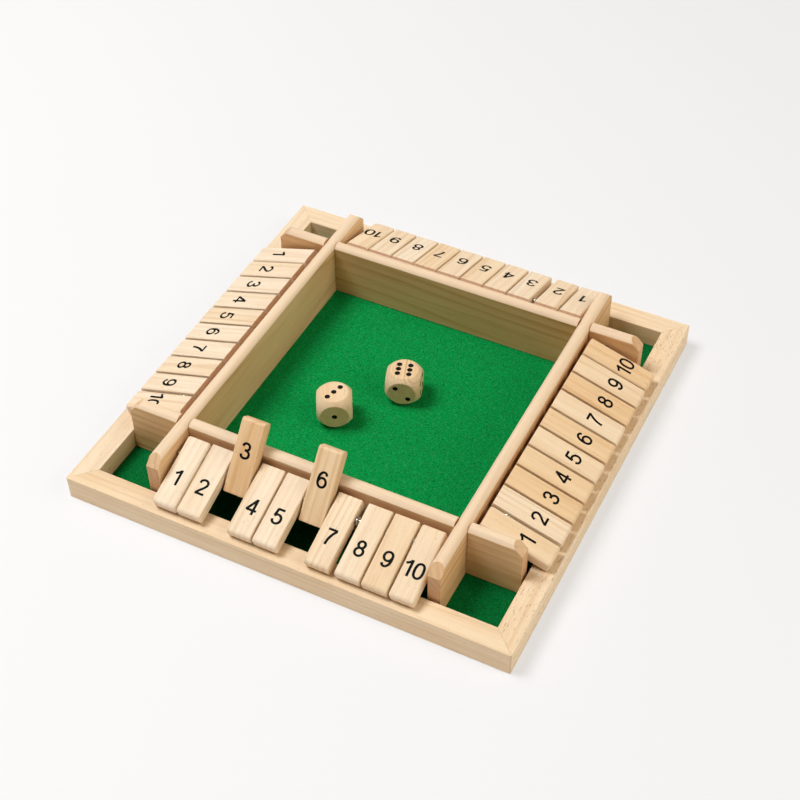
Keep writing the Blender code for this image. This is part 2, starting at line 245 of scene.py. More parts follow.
def linear(red, green, blue):
    """A colour as a screen shows it, 0 to 255, in the linear values that Blender mixes."""
    values = []
    for part in (red, green, blue):
        share = part / 255
        values.append(share / 12.92 if share <= 0.04045 else ((share + 0.055) / 1.055) ** 2.4)
    return tuple(values)


WORN_INK = linear(60, 46, 34)
DULL_STEEL = linear(150, 142, 130)
FELT_SHEEN = linear(120, 230, 150)


def middle(node):
    low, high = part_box(node)
    return (Vector(low) + Vector(high)) / 2


def size_of(node):
    low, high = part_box(node)
    return Vector(high) - Vector(low)


FRAME_SIDE = (Vector(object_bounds()[1]) - Vector(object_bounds()[0])).x


def kind_of_property(make, **kind):
    """Gives what makes a property of one kind from a name, a description and a default."""

    def made(name, description, default):
        return make(name=name, description=description, default=default, **kind)

    return made


as_length = kind_of_property(bpy.props.FloatProperty, unit="LENGTH", precision=5)
as_angle = kind_of_property(bpy.props.FloatProperty, subtype="ANGLE")
as_share = kind_of_property(bpy.props.FloatProperty, min=0, max=4)
as_power = kind_of_property(bpy.props.FloatProperty, unit="POWER")
as_lens = kind_of_property(bpy.props.FloatProperty, unit="CAMERA")
as_place = kind_of_property(bpy.props.FloatVectorProperty, unit="LENGTH")
as_colour = kind_of_property(bpy.props.FloatVectorProperty, subtype="COLOR", size=3, min=0, max=1)


class RailSizes(bpy.types.PropertyGroup):
    """Sizes of the frame's mitred rails"""

    length: as_length("Length", "Outer side of the square frame", FRAME_SIDE)
    width: as_length("Width", "Width of a rail seen from above", size_of("rail_front").y)
    height: as_length("Height", "Height of a rail", size_of("rail_front").z)
    rounding: as_length("Rounding", "Radius of the sanded top edges", 0.0004)
    corner_cut: as_length("Corner cut", "How far the frame's outer corners are sanded off", 0.0004)
    rebate_width: as_length("Rebate width", "How far the base panel reaches under a rail", 0.004)
    rebate_height: as_length("Rebate height", "Height of the step that the base panel fits in", 0.0018)
    mitre_gap: as_length("Mitre gap", "Open seam where two rails meet", 0.00006)


class BoardSizes(bpy.types.PropertyGroup):
    """Sizes of the upright boards round the dice tray"""

    length: as_length("Length", "Length of a board", size_of("cross_board_front").x)
    thickness: as_length("Thickness", "Thickness of a board", size_of("cross_board_front").y)
    height: as_length("Height", "Height of a board", size_of("cross_board_front").z)
    crown_drop: as_length("Crown drop", "How far the rounded top stays below full height", 0.00017)
    crown_edge: as_angle("Crown edge", "Slope of the rounded top at a board's faces", math.radians(60))
    chamfer: as_length("Chamfer", "Length and drop of the corners that are sawn off", 0.005)
    slot_gap: as_length("Slot gap", "Play of a board in its slot, on each side", 0.0003)
    socket_radius: as_length("Socket radius", "Radius of the holes for the rods", 0.0013)
    socket_depth: as_length("Socket depth", "Depth of the holes for the rods", 0.0033)


class RodSizes(bpy.types.PropertyGroup):
    """Sizes of the rods and their spacer rings"""

    radius: as_length("Radius", "Radius of a rod", 0.001)
    ring_radius: as_length("Ring radius", "Outer radius of a spacer ring", 0.0021)
    ring_hole: as_length("Ring hole", "Inner radius of a spacer ring", 0.0012)
    ring_thickness: as_length("Ring thickness", "Thickness of a spacer ring", 0.0006)


class TileSizes(bpy.types.PropertyGroup):
    """Sizes of the flip tiles and their printed numbers"""

    width: as_length("Width", "Width of a tile", 0.0112)
    thickness: as_length("Thickness", "Thickness of a tile", 0.0057)
    length: as_length("Length", "Length of a tile", 0.0334)
    tail: as_length("Tail", "From the rod to the tile's inner end", 0.0081)
    rounding: as_length("Rounding", "Radius of the tile's edges", 0.0005)
    row_end_rounding: as_length("Row end rounding", "Radius of the edges of a row's end tiles", 0.0012)
    end_rounding: as_length("End rounding", "Radius of the two long edges of a tile's outer end", 0.00155)
    tip_cut: as_length("Tip cut", "How much is sanded off the outer corners of a row's end tiles", 0.0011)
    bore_radius: as_length("Bore radius", "Radius of the hole for the rod", 0.00125)
    lying: as_angle("Lying", "How far a lying tile's outer end hangs below level", math.radians(17.643))
    flipped: as_angle("Flipped", "Turn of a flipped tile that leans on its board", math.radians(-128.708))
    figure_height: as_length("Number height", "Height of the printed numbers", 0.0074)
    figure_stroke: as_length("Number stroke", "Width of the printed line", 0.00106)
    figure_spread: as_share("Number spread", "How much wider the numbers are than plainly drawn", 1.12)
    figure_place: as_length("Number place", "From the inner end to the middle of the number", 0.0197)
    ink_height: as_length("Ink height", "How proud the print stands", 0.00003)


class DieSizes(bpy.types.PropertyGroup):
    """Sizes of the two dice"""

    side: as_length("Side", "Side of a die", 0.016)
    ball_radius: as_length("Ball radius", "Radius of the ball that turns off its corners", 0.0103)
    pip_pitch: as_length("Pip pitch", "From the middle of a face to its outer pips", 0.0029)
    pip_radius: as_length("Pip radius", "Radius of a pip", 0.00125)
    pip_depth: as_length("Pip depth", "Depth of a pip", 0.0006)
    rim_rounding: as_length("Rim rounding", "Radius of the rims of its flat sides", 0.00022)


class FeltSizes(bpy.types.PropertyGroup):
    """The green cloth on the base"""

    side: as_length("Side", "Side of the square cloth", size_of("felt_sheet").x)
    thickness: as_length("Thickness", "Thickness of the cloth", size_of("felt_sheet").z)
    ripple: as_length("Ripple", "How uneven the glued cloth is", 0.00012)


class WoodColours(bpy.types.PropertyGroup):
    """Colours of the pine, the dice and the ink"""

    early: as_colour("Early wood", "Pale wood between the rings", linear(247, 232, 212))
    late: as_colour("Late wood", "Dark line of each yearly ring", linear(208, 164, 110))
    end: as_colour("End grain", "Wood where it is sawn across", linear(212, 170, 137))
    fleck: as_colour("Flecks", "Resin flecks along the grain", linear(146, 92, 46))
    rings: as_length("Ring spacing", "From one yearly ring to the next", 0.0026)
    ink: as_colour("Ink", "Printed numbers and pips", linear(9, 8, 9))


class ClothAndSteel(bpy.types.PropertyGroup):
    """Colours of the felt and the steel"""

    felt: as_colour("Felt", "Main colour of the felt", linear(2, 161, 80))
    felt_dark: as_colour("Felt hollows", "Felt between its fibres", linear(0, 108, 48))
    felt_light: as_colour("Felt fibres", "Loose fibres on top", linear(96, 200, 132))
    # Painted shade on the felt: how much brightness it keeps in the wells and channels, where shadow falls
    well_shade: as_share("Well shade", "How much brightness the felt keeps in the wells", 0.60)
    channel_shade: as_share("Channel shade", "How much brightness the felt keeps in the channels", 0.32)
    steel: as_colour("Steel", "Rods and rings", linear(214, 212, 208))


class StageSizes(bpy.types.PropertyGroup):
    """Camera, lamps and floor"""

    camera_place: as_place("Camera place", "Where the camera stands", (0.22227, -0.42306, 0.49833))
    camera_aim: as_place("Camera aim", "What the camera looks at", (-0.00162, 0.01087, 0.0))
    camera_roll: as_angle("Camera roll", "Turn about the line of sight", math.radians(-0.888))
    camera_lens: as_lens("Camera lens", "Focal length in millimetres", 67.756)
    key_place: as_place("Key place", "Where the large lamp stands, high at the left", (-0.89, -0.24, 1.77))
    key_width: as_length("Key width", "Width of the large lamp", 1.0)
    key_power: as_power("Key power", "Power of the large lamp", 32.5)
    key_colour: as_colour("Key colour", "Colour of the large lamp", (1.0, 0.995, 0.985))
    side_place: as_place("Side place", "Where the weak lamp stands, at the right", (1.45, 0.1, 1.2))
    side_width: as_length("Side width", "Width of the weak lamp", 1.4)
    side_power: as_power("Side power", "Power of the weak lamp", 13.5)
    side_colour: as_colour("Side colour", "Colour of the weak lamp", (1.0, 0.92, 0.76))
    ceiling: as_share("Ceiling", "Strength of the light from above and behind", 0.28)
    ceiling_front: as_share("Ceiling front", "Strength of the light from above the camera", 0.08)
    ceiling_colour: as_colour("Ceiling colour", "Colour of the light from above", (1.0, 0.85, 0.62))
    walls: as_share("Walls", "Strength of the light from the walls near the horizon", 1.15)
    walls_colour: as_colour("Walls colour", "Colour of the light from the walls", (1.0, 0.92, 0.78))
    floor_reach: as_length("Floor reach", "Half the side of the floor", 4)
    floor: as_colour("Floor", "Colour of the floor", linear(244, 245, 248))
    backdrop: as_colour("Backdrop", "Colour of the backdrop at the left", linear(252, 252, 255))
    # Painted light falloff: the backdrop is painted darker at the right
    backdrop_right: as_colour("Backdrop right", "The same at the right", linear(226, 227, 229))
    backdrop_share: as_share("Backdrop share", "How much of the floor's look is plain backdrop", 0.58)


PROPERTY_GROUPS = {
    "rails": RailSizes,
    "boards": BoardSizes,
    "rods": RodSizes,
    "tiles": TileSizes,
    "dice": DieSizes,
    "felt": FeltSizes,
    "wood": WoodColours,
    "cloth": ClothAndSteel,
    "stage": StageSizes,
}


def settings(name):
    return getattr(bpy.context.scene, "shut_box_" + name)


def node(tree, kind, inputs=None, **values):
    """Adds a shader node. An input is a number, a colour or another node's output."""
    made = tree.nodes.new("ShaderNode" + kind)
    for name, value in values.items():
        setattr(made, name, value)
    for socket, value in (inputs or {}).items():
        if isinstance(value, bpy.types.NodeSocket):
            tree.links.new(value, made.inputs[socket])
        else:
            made.inputs[socket].default_value = value
    return made


def mix(tree, share, first, second, blend="MIX"):
    """A colour between two others. Each is a colour or another node's output."""
    colours = []
    for colour in (first, second):
        is_output = isinstance(colour, bpy.types.NodeSocket)
        colours.append(colour if is_output else (*colour[:3], 1.0))
    made = node(tree, "Mix", {0: share, 6: colours[0], 7: colours[1]}, data_type="RGBA", blend_type=blend)
    return made.outputs[2]


def maths(tree, operation, first, second=0.0, third=0.0):
    return node(tree, "Math", {0: first, 1: second, 2: third}, operation=operation).outputs[0]


def times(tree, first, second):
    return maths(tree, "MULTIPLY", first, second)


def stretched(tree, vector, scale):
    """A vector with each of its axes scaled."""
    return node(tree, "VectorMath", {0: vector, 1: scale}, operation="MULTIPLY").outputs[0]


def noise_of(tree, vector, scale, detail=2.0, roughness=0.5, distortion=0.0):
    inputs = {
        "Vector": stretched(tree, vector, scale),
        "Scale": 1.0,
        "Detail": detail,
        "Roughness": roughness,
        "Distortion": distortion,
    }
    return node(tree, "TexNoise", inputs).outputs[0]


def ramp(tree, value, stops):
    """A colour ramp through stops of a place and a grey value or colour."""
    made = node(tree, "ValToRGB", {0: value})
    elements = made.color_ramp.elements
    while len(elements) < len(stops):
        elements.new(0.5)
    for element, (place, colour) in zip(elements, stops):
        element.position = place
        is_grey = isinstance(colour, (int, float))
        element.color = (colour, colour, colour, 1) if is_grey else (*colour, 1)
    return made.outputs[0]


def scaled(tree, value, low, high, to_low, to_high):
    """A value moved from one range to another, held inside it."""
    inputs = {0: value, 1: low, 2: high, 3: to_low, 4: to_high}
    return node(tree, "MapRange", inputs).outputs[0]


def attribute(tree, name, output="Fac"):
    return node(tree, "Attribute", attribute_name=name).outputs[output]


def bump(tree, height, strength, distance):
    return node(tree, "Bump", {"Height": height, "Strength": strength, "Distance": distance}).outputs[0]


def new_material(name):
    """A new material with its node tree and its shader."""
    material = bpy.data.materials.new(name)
    material.use_nodes = True
    tree = material.node_tree
    return material, tree, tree.nodes["Principled BSDF"]


def dress(tree, shader, **sockets):
    """Sets the shader's sockets: joined to a node's output, or to one value all over the surface."""
    for name, value in sockets.items():
        socket = shader.inputs[name.replace("_", " ")]
        if isinstance(value, bpy.types.NodeSocket):
            tree.links.new(value, socket)
        else:
            socket.default_value = value


def ring_lines(tree, grain, spacing):
    """Yearly rings round a line far beside the piece: 0 in pale wood, 1 in each dark line."""
    wobble = noise_of(tree, grain, RING_WOBBLE, detail=2.5)
    flat = stretched(tree, grain, (RING_STRETCH, 1, 1))
    radius = node(tree, "VectorMath", {0: flat}, operation="LENGTH").outputs["Value"]
    bent = maths(tree, "MULTIPLY_ADD", wobble, RING_BEND, radius)
    phase = maths(tree, "FRACT", maths(tree, "DIVIDE", bent, spacing))
    fading = scaled(tree, noise_of(tree, grain, RING_FADING), 0.35, 0.68, 0.12, 1.0)
    return times(tree, ramp(tree, phase, RING_STOPS), fading)


def resin_flecks(tree, grain):
    """Short dark dashes along the grain, more of them where the piece's flecks attribute is high."""
    dashes = noise_of(tree, grain, DASHES, detail=1.0)
    return ramp(tree, maths(tree, "MULTIPLY_ADD", attribute(tree, "flecks"), 0.10, dashes), FLECK_STOPS)


def along_grain(tree, grain, lines, fibres, strength):
    """The colour of wood sawn along its grain: rings and streaks, the piece's shade, patches and fibres."""
    colours = settings("wood")
    streaks = noise_of(tree, grain, STREAKS, detail=3.0)
    patches = noise_of(tree, grain, PATCHES, detail=2.0)
    share = times(tree, lines, times(tree, attribute(tree, "figure"), strength))
    share = maths(tree, "ADD", share, scaled(tree, streaks, 0.45, 0.75, 0.0, 0.26))
    colour = mix(tree, maths(tree, "MINIMUM", share, 1.0), colours.early, colours.late)
    tint = ramp(tree, attribute(tree, "tone"), TONE_STOPS)
    colour = mix(tree, 1.0, colour, tint, "MULTIPLY")
    colour = mix(tree, scaled(tree, patches, 0.42, 0.70, 0.0, 0.35), colour, PATCH_TINT, "MULTIPLY")
    return mix(tree, scaled(tree, fibres, 0.5, 0.85, 0.0, 0.40), colour, FIBRE_TINT, "MULTIPLY")


def across_grain(tree, lines, fibres):
    """The colour of wood sawn across its grain, with its pores and the ends of its rings."""
    colours = settings("wood")
    pores = scaled(tree, fibres, 0.35, 0.70, 0.0, 0.8)
    colour = mix(tree, pores, colours.end, PORE_TINT, "MULTIPLY")
    return mix(tree, times(tree, lines, 0.28), colour, colours.fleck)


def pine_material(name, strength, roughness):
    """Bare sanded pine, whose grain follows the piece's own grain attribute."""
    colours = settings("wood")
    material, tree, shader = new_material(name)
    grain = attribute(tree, "grain", "Vector")
    lines = ring_lines(tree, grain, colours.rings)
    fibres = noise_of(tree, grain, FIBRES, detail=3.0, roughness=0.65)
    flecks = resin_flecks(tree, grain)
    colour = along_grain(tree, grain, lines, fibres, strength)
    colour = mix(tree, times(tree, flecks, 0.45), colour, colours.fleck)
    across = across_grain(tree, lines, fibres)
    colour = mix(tree, times(tree, attribute(tree, "endgrain"), 0.92), colour, across)
    # Paler eased edges from wear, and painted light on the boards' tops, both come through the edge
    # attribute
    colour = mix(tree, times(tree, attribute(tree, "edge"), 0.55), colour, colours.early)
    height = maths(tree, "MULTIPLY_ADD", lines, 0.35, fibres)
    height = maths(tree, "MULTIPLY_ADD", flecks, -0.8, height)
    rough = scaled(tree, fibres, 0.3, 0.75, roughness, roughness + 0.14)
    normal = bump(tree, height, 0.42, 0.00012)
    dress(tree, shader, Base_Color=colour, Roughness=rough, Normal=normal, Specular_IOR_Level=0.32)
    return material


def ink_material(name, roughness, shine):
    """Black printing ink or pip paint, a little uneven."""
    material, tree, shader = new_material(name)
    grain = attribute(tree, "grain", "Vector")
    blotches = noise_of(tree, grain, INK_BLOTCHES, detail=3.0)
    threads = noise_of(tree, grain, INK_THREADS, detail=2.0)
    worn = scaled(tree, threads, 0.62, 0.85, 0.0, 0.30)
    colour = mix(tree, worn, settings("wood").ink, WORN_INK)
    rough = scaled(tree, blotches, 0.3, 0.7, roughness - 0.08, roughness + 0.12)
    normal = bump(tree, threads, 0.3, 0.00005)
    dress(tree, shader, Base_Color=colour, Roughness=rough, Normal=normal, Specular_IOR_Level=shine)
    return material


def steel_material():
    """Drawn steel with fine lines along the rod and a few dull spots."""
    material, tree, shader = new_material("drawn_steel")
    grain = attribute(tree, "grain", "Vector")
    lines = noise_of(tree, grain, STEEL_LINES, detail=2.0)
    dull = scaled(tree, noise_of(tree, grain, STEEL_SPOTS, detail=3.0), 0.55, 0.75, 0.0, 0.45)
    colour = mix(tree, dull, settings("cloth").steel, DULL_STEEL)
    rough = maths(tree, "MULTIPLY_ADD", dull, 0.25, scaled(tree, lines, 0.3, 0.7, 0.14, 0.30))
    normal = bump(tree, lines, 0.25, 0.00003)
    dress(tree, shader, Base_Color=colour, Roughness=rough, Normal=normal, Metallic=1.0)
    return material


def felt_shade(tree, place, colours):
    """Painted shade: darkens the cloth in the narrow channels and in the wells, where shadow falls."""
    parts = node(tree, "SeparateXYZ", {0: place}).outputs
    ways = [maths(tree, "ABSOLUTE", parts[axis]) for axis in "XY"]
    beyond = maths(tree, "GREATER_THAN", maths(tree, "MAXIMUM", *ways), BOARDS_OUT)
    well = maths(tree, "GREATER_THAN", maths(tree, "MINIMUM", *ways), BOARDS_OUT)
    channel = maths(tree, "SUBTRACT", beyond, well)
    shade = mix(tree, well, (1, 1, 1), (colours.well_shade,) * 3)
    return mix(tree, channel, shade, (colours.channel_shade,) * 3)


def felt_material():
    """Pressed wool: hollows and lumps, a web of fine fibres and a few pale loose ones."""
    colours = settings("cloth")
    material, tree, shader = new_material("green_wool_felt")
    place = node(tree, "TexCoord").outputs["Object"]
    drift = noise_of(tree, place, FELT_DRIFT, detail=3.0)
    nap = noise_of(tree, place, FELT_NAP, detail=3.0, roughness=0.65, distortion=0.6)
    webs = [ramp(tree, noise_of(tree, place, way, 2.0, 0.5, 1.8), LOOSE_STOPS) for way in LOOSE_FIBRES]
    loose = maths(tree, "MAXIMUM", *webs)
    colour = mix(tree, scaled(tree, nap, 0.36, 0.62, 0.0, 1.0), colours.felt_dark, colours.felt)
    colour = mix(tree, scaled(tree, drift, 0.35, 0.65, 0.0, 0.22), colour, DRIFT_TINT, "MULTIPLY")
    colour = mix(tree, times(tree, loose, 0.30), colour, colours.felt_light)
    # Painted shade: the felt is darkened in the channels and in the wells
    colour = mix(tree, 1.0, colour, felt_shade(tree, place, colours), "MULTIPLY")
    rough = scaled(tree, nap, 0.3, 0.7, 0.88, 1.0)
    normal = bump(tree, maths(tree, "MULTIPLY_ADD", loose, 0.5, nap), 0.6, 0.0003)
    dress(tree, shader, Base_Color=colour, Roughness=rough, Normal=normal, Specular_IOR_Level=0.04)
    dress(tree, shader, Sheen_Weight=0.05, Sheen_Roughness=0.45, Sheen_Tint=(*FELT_SHEEN, 1))
    return material


# What makes the material of each slot. Pine takes the strength of its rings and its roughness.
MATERIALS = {
    "pine_rails": lambda: pine_material("sanded_pine_rails", 0.32, 0.52),
    "pine_boards": lambda: pine_material("sanded_pine_boards", 0.70, 0.54),
    "pine_tiles": lambda: pine_material("sanded_pine_tiles", 0.40, 0.50),
    "pine_dice": lambda: pine_material("polished_dice_wood", 0.60, 0.40),
    "plywood": lambda: pine_material("plywood_veneer", 0.90, 0.62),
    "ink": lambda: ink_material("black_ink", 0.62, 0.12),
    "pip_paint": lambda: ink_material("glossy_pip_paint", 0.40, 0.14),
    "green_felt": felt_material,
    "steel": steel_material,
}
made_materials = {}


def material_for(slot):
    if slot not in made_materials:
        made_materials[slot] = MATERIALS[slot]()
    return made_materials[slot]


def round_edges(bm, edges, radius, segments):
    bmesh.ops.bevel(
        bm,
        geom=edges,
        offset=radius,
        offset_type="OFFSET",
        segments=segments,
        profile=0.5,
        affect="EDGES",
        clamp_overlap=True,
        material=-1,
    )


def saw(bm, point, normal):
    """Saws off what lies beyond a plane and closes the cut."""
    geometry = bm.verts[:] + bm.edges[:] + bm.faces[:]
    bmesh.ops.bisect_plane(
        bm, geom=geometry, dist=SAW_DISTANCE, plane_co=point, plane_no=normal, clear_outer=True
    )
    bmesh.ops.holes_fill(bm, edges=[edge for edge in bm.edges if edge.is_boundary], sides=0)


def edges_where(bm, test):
    """The edges whose two ends pass a test together."""
    return [edge for edge in bm.edges if test(*(vert.co for vert in edge.verts))]


def block(size):
    bm = bmesh.new()
    bmesh.ops.create_cube(bm, size=1)
    bmesh.ops.scale(bm, verts=bm.verts, vec=size)
    return bm


def drawn_out(outline, axis, depth):
    """A flat outline drawn out to a solid along an axis, half to each side."""
    bm = bmesh.new()
    points = []
    for across, up in outline:
        place = (-depth / 2, across, up) if axis == "X" else (across, -depth / 2, up)
        points.append(bm.verts.new(place))
    face = bm.faces.new(points)
    drawn = bmesh.ops.extrude_face_region(bm, geom=[face])
    moved = [item for item in drawn["geom"] if isinstance(item, bmesh.types.BMVert)]
    step = (depth, 0, 0) if axis == "X" else (0, depth, 0)
    bmesh.ops.translate(bm, verts=moved, vec=step)
    bmesh.ops.recalc_face_normals(bm, faces=bm.faces[:])
    return bm


def flat_face(bm, direction):
    """The largest flat face that looks this way."""
    looking = [face for face in bm.faces if face.normal.dot(Vector(direction)) > 0.999]
    return max(looking, key=lambda face: face.calc_area())


def hole_rims(bm, face, centres, radius, steps):
    """Opens round holes in a flat face and gives back the edges of each rim."""
    normal = face.normal.copy()
    edges = face.edges[:]
    turn = Vector((0, 0, 1)).rotation_difference(normal).to_matrix().to_4x4()
    rims = []
    for centre in centres:
        circle = bmesh.ops.create_circle(
            bm, cap_ends=False, segments=steps, radius=radius, matrix=Matrix.Translation(centre) @ turn
        )
        rims.append(list({edge for vert in circle["verts"] for edge in vert.link_edges}))
    bmesh.ops.delete(bm, geom=[face], context="FACES_ONLY")
    all_edges = edges + [edge for rim in rims for edge in rim]
    bmesh.ops.triangle_fill(bm, use_beauty=True, edges=all_edges, normal=normal)
    return rims


def sink(bm, rim, step, scale, centre):
    """Draws a rim down into the piece by a step, narrowed about its centre. Gives the new rim and walls."""
    drawn = bmesh.ops.extrude_edge_only(bm, edges=rim)
    verts = [item for item in drawn["geom"] if isinstance(item, bmesh.types.BMVert)]
    edges = [item for item in drawn["geom"] if isinstance(item, bmesh.types.BMEdge)]
    bmesh.ops.scale(bm, verts=verts, vec=(scale, scale, scale), space=Matrix.Translation(-Vector(centre)))
    bmesh.ops.translate(bm, verts=verts, vec=step)
    rim_verts = set(verts)
    walls = {face for vert in verts for face in vert.link_faces}
    return [edge for edge in edges if all(vert in rim_verts for vert in edge.verts)], walls


def place_in_log(name, far, angle):
    """Where in its log a piece was cut, by chance: along the log, then off its middle both ways."""
    chance = random.Random(name)
    turn = chance.uniform(0, 2 * math.pi)
    angle = turn if angle is None else angle
    pith = chance.uniform(0.7, 1.6) * far
    along = chance.uniform(-0.8, 0.8)
    return Vector((along, pith * math.cos(angle), pith * math.sin(angle)))


def mark_faces(bm, axis, ends):
    """Marks how much end grain each face shows, and which faces are eased edges."""
    end_grain = bm.faces.layers.float.new("endgrain")
    edge = bm.faces.layers.float.new("edge")
    bm.normal_update()
    for face in bm.faces:
        share = max(0.0, (abs(face.normal[axis]) - 0.5) * 2)
        face[end_grain] = share * ends[int(face.normal[axis] > 0)]
        face[edge] = EASED_EDGE if max(abs(part) for part in face.normal) < LEVEL_FACE else 0.0


def store_grain(bm, name, along, cut=PLAIN_CUT, tone=0.2, figure=1.0, flecks=0.0, angle=None, fine=1.0):
    """Gives a piece its wood: where in the log it was cut, its shade, its flecks and its end grain."""
    far, ends = cut
    axis = "XYZ".index(along)
    others = [index for index in range(3) if index != axis]
    spot = place_in_log(name, far, angle)
    layers = bm.verts.layers
    grain = layers.float_vector.new("grain")
    shade, strength, flecked = (layers.float.new(layer) for layer in ("tone", "figure", "flecks"))
    for vert in bm.verts:
        vert[grain] = (Vector((vert.co[axis], vert.co[others[0]], vert.co[others[1]])) + spot) * fine
        vert[shade] = tone
        vert[strength] = figure
        vert[flecked] = flecks
    mark_faces(bm, axis, ends)


def new_mesh(bm, name, *materials):
    """Turns a finished bmesh into a mesh with its materials."""
    mesh = bpy.data.meshes.new(name)
    bm.to_mesh(mesh)
    bm.free()
    for material in materials:
        mesh.materials.append(material)
    return mesh


def new_object(name, data):
    """An object of the scene with this mesh, curve, lamp or camera."""
    made = bpy.data.objects.new(name, data)
    bpy.context.scene.collection.objects.link(made)
    return made


def add_piece(name, bm, place, slot, body="tray", replaced=None, extra=()):
    """Puts a finished mesh in its place and ties it to the frame."""
    bmesh.ops.recalc_face_normals(bm, faces=bm.faces[:])
    bmesh.ops.transform(bm, matrix=place, verts=bm.verts)
    mesh = new_mesh(bm, name, *[material_for(material) for material in (slot, *extra)])
    mesh.shade_smooth()
    mesh.set_sharp_from_angle(angle=SMOOTH_ANGLE)
    piece = new_object(name, mesh)
    shading = piece.modifiers.new("even_shading", "WEIGHTED_NORMAL")
    shading.keep_sharp = True
    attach(piece, body)
    if replaced:
        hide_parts(replaced)


def turned_to(side):
    """The turn that takes a front piece to its side."""
    return Matrix.Rotation(SIDES[side] * math.pi / 2, 4, "Z")


def rail_outline(sizes):
    """A rail seen from its end, its outer face towards -Y, with the step that takes the base panel."""
    outer = -sizes.width / 2
    inner = sizes.width / 2
    step = inner - sizes.rebate_width
    outline = [(outer, 0), (step, 0), (step, sizes.rebate_height)]
    return outline + [(inner, sizes.rebate_height), (inner, sizes.height), (outer, sizes.height)]


def mitre_ends(bm, sizes):
    """Saws a rail's two ends for its mitres and sands the frame's outer corners."""
    centre = (sizes.length - sizes.width) / 2
    for end in (-1, 1):
        mitre = Vector((end, 1, 0)).normalized()
        saw(bm, Vector((end * centre, 0, 0)) - mitre * sizes.mitre_gap / 2, mitre)
        tip = Vector((end, -1, 0)).normalized()
        corner = Vector((end * sizes.length / 2, -sizes.width / 2, 0))
        saw(bm, corner - tip * sizes.corner_cut, tip)


def rail_mesh(sizes):
    """A rail along X: rebated below, its top edges and its foot sanded round, its ends mitred."""
    bm = drawn_out(rail_outline(sizes), "X", sizes.length)
    top = sizes.height - MERGE_DISTANCE
    outer = MERGE_DISTANCE - sizes.width / 2
    upper = edges_where(bm, lambda a, b: abs(a.x - b.x) > MERGE_DISTANCE and a.z > top)
    round_edges(bm, upper, sizes.rounding, 4)
    foot = edges_where(bm, lambda a, b: max(abs(a.z), abs(b.z)) < MERGE_DISTANCE and max(a.y, b.y) < outer)
    round_edges(bm, foot, sizes.rounding / 2, 2)
    mitre_ends(bm, sizes)
    return bm


def crown(sizes):
    """The rounded top of a board across it, from outside to inside: an arc that ends at a soft edge."""
    half = sizes.thickness / 2
    radius = half / math.sin(sizes.crown_edge)
    centre = sizes.height - sizes.crown_drop - radius
    steps = 14
    arc = []
    for step in range(steps + 1):
        angle = sizes.crown_edge * (2 * step / steps - 1)
        arc.append(Vector((radius * math.sin(angle), centre + radius * math.cos(angle))))
    return arc


def board_outline(sizes, crossing, from_above):
    """A board seen from its side, with the two slots that take the boards it crosses."""
    half = sizes.length / 2
    slot = sizes.thickness / 2 + sizes.slot_gap
    slotted = sizes.height if from_above else 0.0
    plain = 0.0 if from_above else sizes.height
    level = sizes.height / 2
    edge = [(-half, slotted)]
    for middle_of_slot in (-crossing, crossing):
        low = middle_of_slot - slot
        high = middle_of_slot + slot
        edge += [(low, slotted), (low, level), (high, level), (high, slotted)]
    return edge + [(half, slotted), (half, plain), (-half, plain)]


def board_mesh(sizes, crossing, from_above, rod_height):
    """An upright board along X, its tray side towards +Y: round on top, its upper corners sawn off."""
    bm = drawn_out(board_outline(sizes, crossing, from_above), "Y", sizes.thickness)
    arc = crown(sizes)
    for first, second in zip(arc, arc[1:]):
        across, up = second - first
        saw(bm, (0, *first), Vector((0, -up, across)).normalized())
    for end in (-1, 1):
        corner = (end * sizes.length / 2, 0, sizes.height - sizes.chamfer)
        saw(bm, corner, Vector((end, 0, 1)).normalized())
    inner = sizes.thickness / 2
    sockets = [Vector((end * abs(middle("rod_front").y), inner, rod_height)) for end in (-1, 1)]
    rims = hole_rims(bm, flat_face(bm, (0, 1, 0)), sockets, sizes.socket_radius, 24)
    for rim, centre in zip(rims, sockets):
        bottom, _ = sink(bm, rim, (0, -sizes.socket_depth, 0), 1.0, centre)
        bmesh.ops.holes_fill(bm, edges=bottom, sides=0)
    return bm


def tile_blank(sizes, rounding):
    """A tile with the rod's axis along X through the origin, its number up, its inner end towards +Y."""
    bm = block((sizes.width, sizes.length, sizes.thickness))
    outer = edges_where(bm, lambda a, b: max(a.y, b.y) < 0 and a.z * b.z > 0)
    round_edges(bm, outer, sizes.end_rounding, 5)
    bm.normal_update()
    sawn = [edge for edge in bm.edges if edge.calc_face_angle() > SAWN_ANGLE]
    round_edges(bm, sawn, rounding, 4)
    bmesh.ops.translate(bm, verts=bm.verts, vec=(0, sizes.tail - sizes.length / 2, 0))
    rims = []
    for end in (-1, 1):
        face = flat_face(bm, (end, 0, 0))
        rims += hole_rims(bm, face, [Vector((end * sizes.width / 2, 0, 0))], sizes.bore_radius, 24)
    bmesh.ops.bridge_loops(bm, edges=rims[0] + rims[1])
    return bm


def slope_inner_end(bm, sizes, slope):
    """Sands the inner end back at its upper edge, so that its end grain shows from above."""
    out = Vector((0, sizes.thickness, slope)).normalized()
    saw(bm, Vector((0, sizes.tail - slope, sizes.thickness / 2)), out)


def ease_tips(bm, sizes):
    """Sands the corners off a tile's outer end, which pass the next row's end tile when flipped."""
    for across in (-1, 1):
        for up in (-1, 1):
            tip = Vector((across * sizes.width / 2, sizes.tail - sizes.length, up * sizes.thickness / 2))
            out = Vector((across, -1, up)).normalized()
            saw(bm, tip - out * sizes.tip_cut, out)


